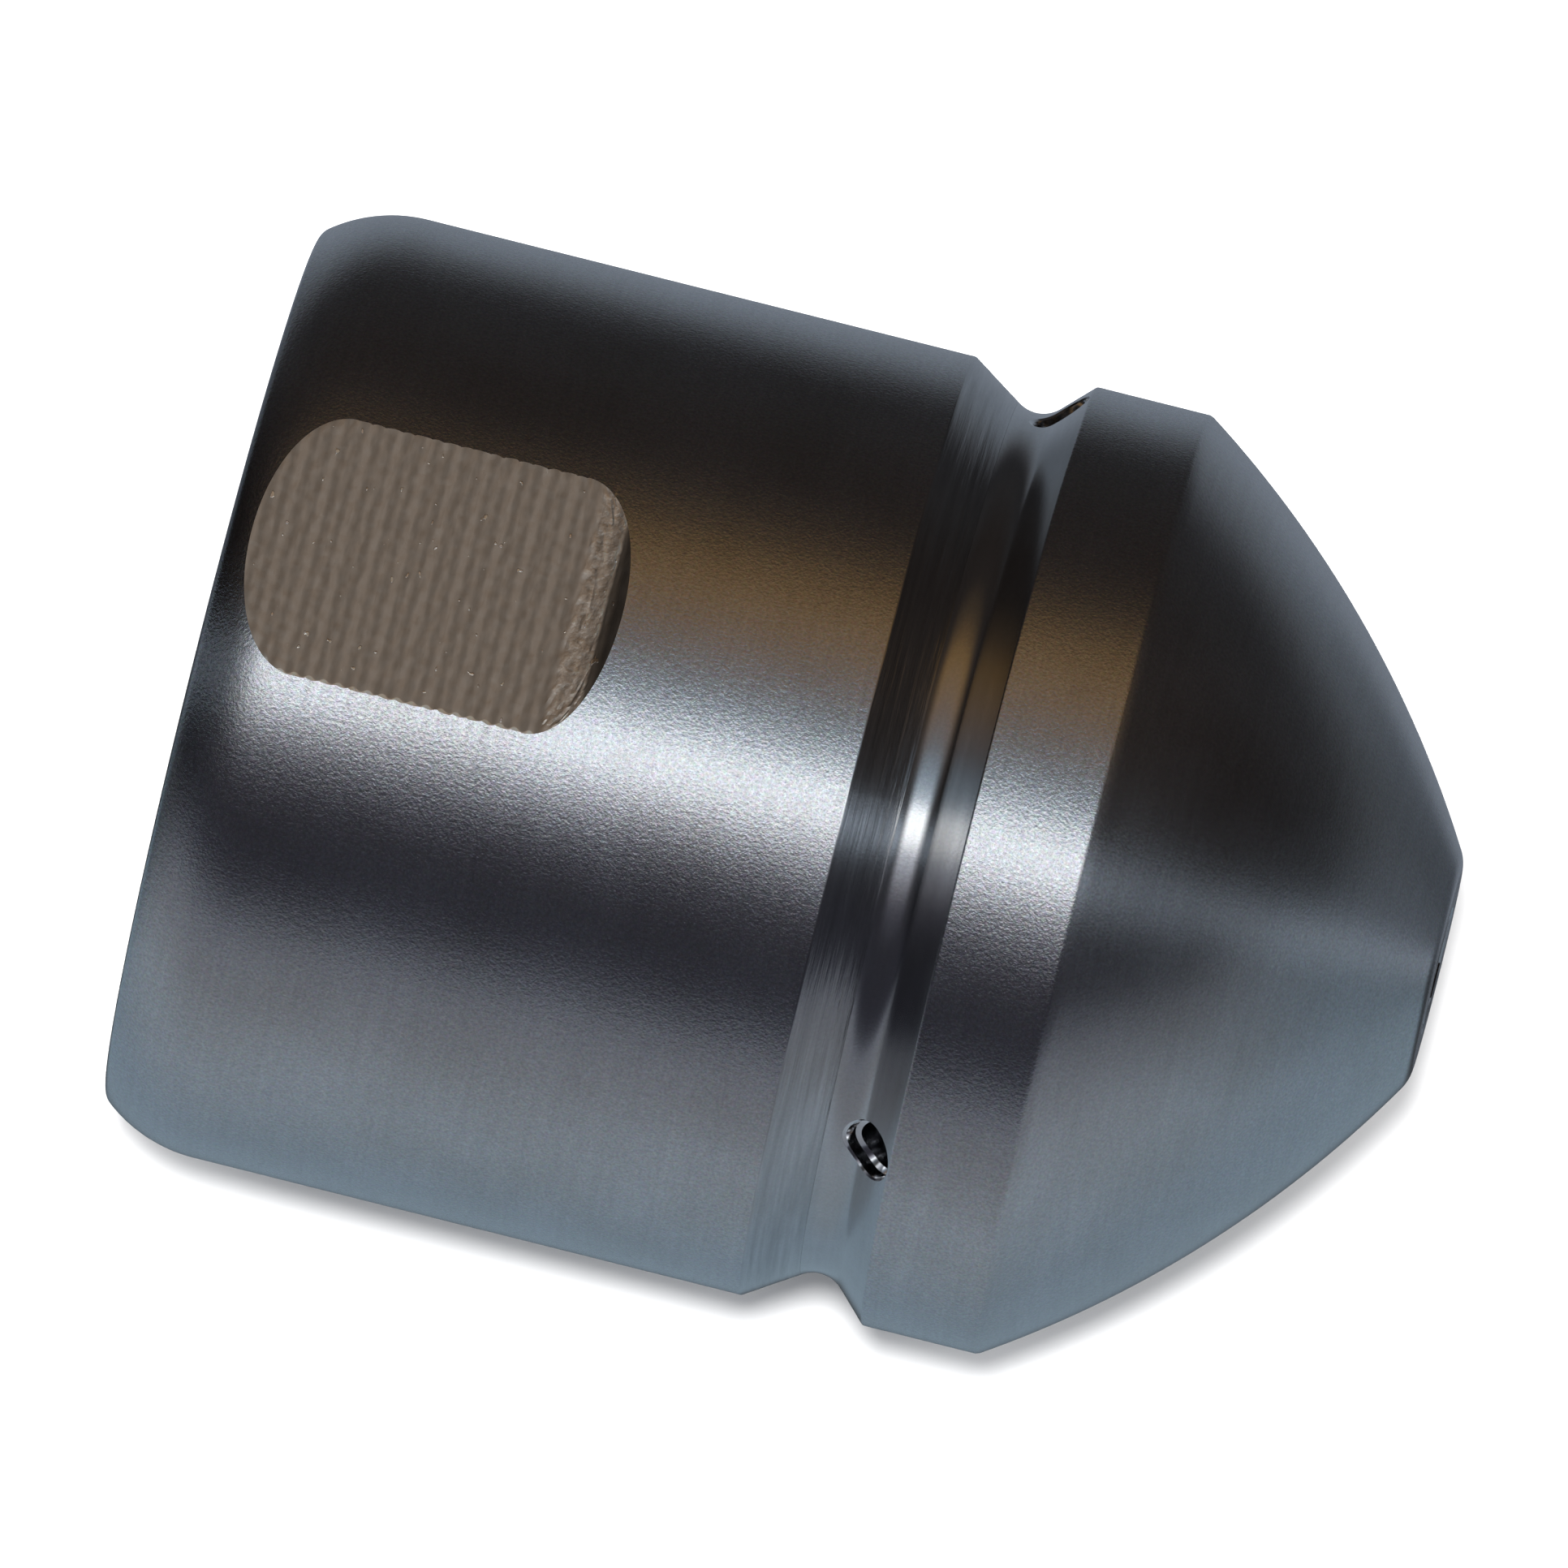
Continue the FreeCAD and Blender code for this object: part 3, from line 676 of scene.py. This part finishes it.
nose_steel = turned_steel("satin_nose_steel", 0.24, 0.003, 0.001, 0.57, 0.7)
root_steel = turned_steel("smooth_groove_steel", 0.15, 0.0012, 0.001, 0.57, 0.3)
polished_steel = turned_steel("polished_port_steel", 0.12, 0.0004, 0.0004, 0.75, 0.1)
head = make_piece(
    "jet_head_turned", np.concatenate(all_points), np.concatenate(all_faces),
    [satin_steel, root_steel, nose_steel, bore_steel, polished_steel], np.concatenate(all_regions),
    sharp=24.0,
)
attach(head, "root")
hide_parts("jet_head")

# ---------------------------------------------------------------- head_seal_ring
# A nitrile O-ring in the spigot's groove.  It is slipped over the spigot before the head is
# screwed home, and the joint hides it.

ring_low, ring_high = (np.array(c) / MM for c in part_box("head_seal_ring"))
section_r = (ring_high[0] - ring_low[0]) / 2
ring_centre = ((ring_low[0] + ring_high[0]) / 2, ring_high[1] - section_r)


def rubber(name, tone):
    """Matt black rubber with a fine moulded grain and a little bloom."""
    material, tree, shader = start_material(name, Metallic=0.0)
    place = millimetres(tree)
    grain = noise(tree, place, 9.0, 3.0, 0.6)
    bloom = noise(tree, place, 0.8, 3.0, 0.5)
    bump = tree.node("ShaderNodeBump", None, {"Height": 0.006 * grain, "Distance": MM})
    colour = tree.node(
        "ShaderNodeMix", {"data_type": "RGBA"},
        {"Factor": bloom.steps(0.3, 0.75), "A": (tone, tone, tone, 1),
         "B": (tone * 1.9, tone * 1.9, tone * 2, 1)}, 2,
    )
    feed(shader, tree, Base_Color=colour, Roughness=0.5 + 0.25 * bloom, Normal=bump)
    return material


def turned_piece(name, profile, columns, materials, sharp=28.0, place=None):
    """A closed (x, radius) loop turned once round X; place carries its points to where it lies."""
    angle = np.linspace(0, 2 * math.pi, columns, endpoint=False)
    x, r = profile[:, 0, None], profile[:, 1, None]
    points = np.stack([x + 0 * angle, r * np.sin(angle), r * np.cos(angle)], axis=2)
    if place is not None:
        points = place(points)
    return make_piece(name, points, loop_faces(len(profile), columns), materials, None, sharp)


seal = turned_piece(
    "head_seal_oring", arc(ring_centre, section_r, 180, -180, 24), 160, [rubber("nitrile_rubber", 0.012)]
)
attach(seal, "root")
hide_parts("head_seal_ring")

# ---------------------------------------------------------------- rear_jet_insert_1 to _3
# Hard steel sleeves pressed into the three ports.  Each has a coned inlet and a straight jet
# bore, and sits 1.8 mm below the groove's flank, out of harm's way.

sleeve_r, sleeve_bore, sleeve_inlet = 0.71, 0.45, 0.6
sleeve_length, sleeve_depth, inlet_length = 2.5, 1.8, 0.7
sleeve_profile = np.concatenate([
    line((0, sleeve_inlet), (0, sleeve_r - 0.05), 1),
    line((0, sleeve_r - 0.05), (0.05, sleeve_r), 1),
    line((0.05, sleeve_r), (sleeve_length - 0.06, sleeve_r), 3),
    arc((sleeve_length - 0.06, sleeve_r - 0.06), 0.06, 90, 0, 3),
    line((sleeve_length, sleeve_r - 0.06), (sleeve_length, sleeve_bore + 0.05), 2),
    line((sleeve_length, sleeve_bore + 0.05), (sleeve_length - 0.05, sleeve_bore), 1),
    line((sleeve_length - 0.05, sleeve_bore), (inlet_length, sleeve_bore), 3),
    line((inlet_length, sleeve_bore), (0, sleeve_inlet), 2),
])
insert_steel = turned_steel("hard_insert_steel", 0.15, 0.0008, 0.002, 0.5, 0.2)
for number, turn in enumerate(port_turns[[1, 0, 2]], start=1):
    centre, forward, across, axis = port_frame(turn)
    start = centre - (sleeve_depth + sleeve_length) * axis

    def lay(points):
        """Carries x to the port's axis, y up the flank and z round the head."""
        return start + points[..., :1] * axis + points[..., 1:2] * forward + points[..., 2:] * across

    sleeve = turned_piece(f"rear_jet_sleeve_{number}", sleeve_profile, 48, [insert_steel], 28.0, lay)
    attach(sleeve, "root")
    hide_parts(f"rear_jet_insert_{number}")

# ---------------------------------------------------------------- front_jet_insert
# A small screwed plug, flush with the tip.  A hexagon socket takes the key that fits it, and
# one jet bore runs through it from the chamber.

plug_low, plug_high = (np.array(c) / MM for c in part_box("front_jet_insert"))
plug_start, plug_end, plug_r = plug_low[0], plug_high[0], plug_high[1]
plug_bore, plug_chamfer = 0.4, 0.2
socket_flat, socket_depth = 0.75, 1.1
plug_columns = 72
plug_angle = np.linspace(0, 2 * math.pi, plug_columns, endpoint=False)
hexagon = socket_flat / np.cos((plug_angle + math.pi / 6) % (math.pi / 3) - math.pi / 6)
floor_x = plug_end - socket_depth
plug_rows = [
    (plug_start, plug_bore, 0), (plug_start, 0.9, 0), (plug_start, plug_r - 0.1, 0),
    (plug_start + 0.1, plug_r, 0), (plug_start + 1.5, plug_r, 0),
    (plug_end - plug_chamfer, plug_r, 0), (plug_end, plug_r - plug_chamfer, 0),
    (plug_end, 1.05, 0), (plug_end, 0.04, 1), (plug_end - 0.04, 0, 1), (plug_end - 0.4, 0, 1),
    (floor_x, 0, 1), (floor_x - 0.06, 0.6, 0), (floor_x - 0.1, plug_bore, 0),
    (plug_start + 1.0, plug_bore, 0),
]
rows = []
for x, r, hexed in plug_rows:
    r = hexagon + r if hexed else np.full(plug_columns, r)
    turned_row = [np.full(plug_columns, x), r * np.sin(plug_angle), r * np.cos(plug_angle)]
    rows.append(np.stack(turned_row, axis=1))
plug = make_piece(
    "front_jet_plug", np.array(rows), loop_faces(len(rows), plug_columns), [insert_steel], None, 28.0
)
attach(plug, "root")
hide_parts("front_jet_insert")

# ---------------------------------------------------------------- inlet_seal_washer
# A flat rubber washer at the bottom of the thread.  The hose fitting's end presses it against
# the head's spigot; it is pushed past the thread by hand.

wash_low, wash_high = (np.array(c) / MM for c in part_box("inlet_seal_washer"))
wash_in, wash_edge = chamber_r, 0.15
wash_out = wash_high[1]
washer_profile = np.concatenate([
    line((wash_low[0], wash_in + wash_edge), (wash_low[0], wash_out - wash_edge), 4),
    arc((wash_low[0] + wash_edge, wash_out - wash_edge), wash_edge, 180, 90, 4),
    line((wash_low[0] + wash_edge, wash_out), (wash_high[0] - wash_edge, wash_out), 2),
    arc((wash_high[0] - wash_edge, wash_out - wash_edge), wash_edge, 90, 0, 4),
    line((wash_high[0], wash_out - wash_edge), (wash_high[0], wash_in + wash_edge), 4),
    arc((wash_high[0] - wash_edge, wash_in + wash_edge), wash_edge, 0, -90, 4),
    line((wash_high[0] - wash_edge, wash_in), (wash_low[0] + wash_edge, wash_in), 2),
    arc((wash_low[0] + wash_edge, wash_in + wash_edge), wash_edge, 270, 180, 4),
])
washer = turned_piece("inlet_washer", washer_profile, 128, [rubber("washer_rubber", 0.022)])
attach(washer, "root")
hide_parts("inlet_seal_washer")

# ---------------------------------------------------------------- floor, light and camera
# The nozzle lies on its side on a pale floor.  A soft lamp lights the floor, and the steel
# mirrors the room: a bright window strip behind the camera, a warm wall above it, a dark gap,
# and pale blue daylight low down.

low, high = (np.array(c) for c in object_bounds())
floor_size = 1.5
floor_z = float(low[2]) - 0.00002
floor_mesh = bpy.data.meshes.new("floor")
floor_mesh.from_pydata(
    [(x * floor_size, y * floor_size, floor_z) for x, y in ((-1, -1), (1, -1), (1, 1), (-1, 1))],
    [], [(0, 1, 2, 3)],
)
floor = bpy.data.objects.new("floor", floor_mesh)
bpy.context.scene.collection.objects.link(floor)
material, tree, shader = start_material("pale_floor", Roughness=0.9, Specular_IOR_Level=0.1)
mottle = noise(tree, millimetres(tree), 0.05, 2.0)
colour = tree.node(
    "ShaderNodeMix", {"data_type": "RGBA"},
    {"Factor": mottle, "A": (0.86, 0.86, 0.86, 1), "B": (0.9, 0.9, 0.9, 1)}, 2,
)
feed(shader, tree, Base_Color=colour)
floor_mesh.materials.append(material)
floor.visible_glossy = False
floor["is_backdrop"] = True

lean, side = math.radians(72.5), math.radians(2.2)
towards = np.array([math.sin(side), -math.cos(lean) * math.cos(side), math.sin(lean) * math.cos(side)])
rise = np.array([0, math.sin(lean), math.cos(lean)])

world = bpy.data.worlds.new("room")
bpy.context.scene.world = world
world.use_nodes = True
tree = Shade(world.node_tree)
way = tree.node("ShaderNodeTexCoord")
way_x, way_y, way_z = split(tree, way)
facing = -math.cos(lean) * way_y + math.sin(lean) * way_z
down = -math.sin(lean) * way_y - math.cos(lean) * way_z
around = tree.math("ARCTAN2", down, facing) / (2 * math.pi) + 0.5


def bands(stops):
    """A colour for each angle round the nozzle's axis, from pairs of degrees and colour."""
    return tree.node(
        "ShaderNodeValToRGB", {"stops": [((degrees + 180) / 360, colour) for degrees, colour in stops]},
        {"Fac": around},
    )


room = bands([
    (-180, (0.22, 0.25, 0.3)), (-160, (0.22, 0.255, 0.305)), (-146, (0.19, 0.22, 0.26)),
    (-138, (0.13, 0.145, 0.165)), (-130, (0.05, 0.05, 0.055)), (-124, (0.022, 0.022, 0.024)),
    (-110, (0.028, 0.027, 0.028)), (-90, (0.024, 0.02, 0.019)), (-20, (0.035, 0.03, 0.028)),
    (0, (0.05, 0.05, 0.055)), (28, (0.03, 0.03, 0.038)), (50, (0.035, 0.036, 0.048)),
    (56, (0.07, 0.075, 0.095)), (62, (0.2, 0.215, 0.255)), (80, (0.235, 0.25, 0.28)),
    (98, (0.315, 0.36, 0.415)), (116, (0.29, 0.345, 0.4)), (140, (0.24, 0.31, 0.38)),
    (158, (0.24, 0.315, 0.38)), (168, (0.24, 0.315, 0.38)), (174, (0.08, 0.09, 0.1)),
    (180, (0.03, 0.03, 0.03)),
])
brown = bands([
    (-180, 0.0), (-74, 0.0), (-63, (0.04, 0.025, 0.01)), (-57, (0.1, 0.057, 0.02)),
    (-51, (0.19, 0.108, 0.03)), (-40, (0.21, 0.135, 0.075)), (-30, (0.17, 0.145, 0.135)),
    (-20, (0.1, 0.12, 0.14)), (0, 0.0), (180, 0.0),
])
strip = bands([
    (-180, 0.0), (-26, 0.0), (-18, (0.15, 0.2, 0.25)), (-10, (0.45, 0.56, 0.66)), (-7, (2.1, 2.2, 2.3)),
    (0, (1.9, 1.95, 2.0)), (4, (0.6, 0.64, 0.74)), (12, (0.22, 0.22, 0.25)), (18, (0.04, 0.04, 0.055)),
    (28, 0.0), (180, 0.0),
])
far = tree.math("ABSOLUTE", way_x)
strip_share = 1 - far.steps(0.35, 0.75)
brown_share = 1 - far.steps(0.45, 0.88)
pole_shade = (1 - 0.45 * far.steps(0.8, 1.0)) * (1 - 0.6 * (0 - way_x).steps(0.7, 0.95))
aslant = tree.math("ABSOLUTE", down)
level = (1 - aslant.steps(0.3, 0.65)) * (1 - down.steps(0.0, 0.2))
pole_shade *= 1 - 0.6 * level * (0 - facing).steps(0.25, 0.6) * far.steps(0.3, 0.55)
streak = far.steps(0.45, 0.7) * (1 - aslant.steps(0.02, 0.1)) * facing.steps(-0.7, -0.3)
streak *= 1 + 1.2 * way_x.steps(0.6, 0.8) * (1 - way_x.steps(0.88, 0.94))

lit = tree.vector("SCALE", room, scale=pole_shade)
for colour, share in ((brown, brown_share), (strip, strip_share), ((0.2, 0.235, 0.28), streak)):
    lit = tree.vector("ADD", lit, tree.vector("SCALE", colour, scale=share))
seen = tree.node("ShaderNodeLightPath", None, None, 0)
backdrop = tree.node(
    "ShaderNodeMix", {"data_type": "RGBA"}, {"Factor": seen, "A": lit, "B": (1.0, 1.0, 1.0, 1)}, 2
)
background = world.node_tree.nodes["Background"]
world.node_tree.links.new(backdrop.socket, background.inputs["Color"])

centre = np.array([15 * MM, 0, 0])
right = np.cross(rise, towards)
right /= np.linalg.norm(right)
up = np.cross(towards, right)
roll = math.radians(14.05)
view_right = math.cos(roll) * right + math.sin(roll) * up
view_up = -math.sin(roll) * right + math.cos(roll) * up

lamp = bpy.data.lights.new("soft_lamp", "AREA")
lamp.shape = "DISK"
lamp.size = 0.085
lamp.energy = 8.0
lamp_object = bpy.data.objects.new("soft_lamp", lamp)
bpy.context.scene.collection.objects.link(lamp_object)
lamp_place = centre + 0.8 * towards + 0.052 * view_up - 0.014 * view_right
lamp_object.location = lamp_place
lamp_object.rotation_mode = "QUATERNION"
lamp_object.rotation_quaternion = Vector(lamp_place - centre).to_track_quat("Z", "Y")
lamp_object.visible_glossy = False

fill = bpy.data.lights.new("fill_lamp", "AREA")
fill.shape = "DISK"
fill.size = 1.2
fill.energy = 8.0
fill_object = bpy.data.objects.new("fill_lamp", fill)
bpy.context.scene.collection.objects.link(fill_object)
fill_object.location = (0, 0, 0.7)
fill_object.visible_glossy = False

camera = bpy.data.cameras.new("camera")
camera_object = bpy.data.objects.new("camera", camera)
bpy.context.scene.collection.objects.link(camera_object)
bpy.context.scene.camera = camera_object
frame_width = 37.28 * MM
distance = 1.5
camera.sensor_width = 36.0
camera.lens = 36.0 * distance / frame_width
camera.clip_start, camera.clip_end = 0.05, 10.0
aim_left, aim_up = 0.985, 0.795
aim = centre - view_right * aim_left * MM + view_up * aim_up * MM
turned = Matrix((view_right, view_up, towards)).transposed()
camera_object.rotation_mode = "QUATERNION"
camera_object.rotation_quaternion = turned.to_quaternion()
camera_object.location = Vector(aim + towards * distance)
bpy.context.scene.view_settings.view_transform = "Standard"
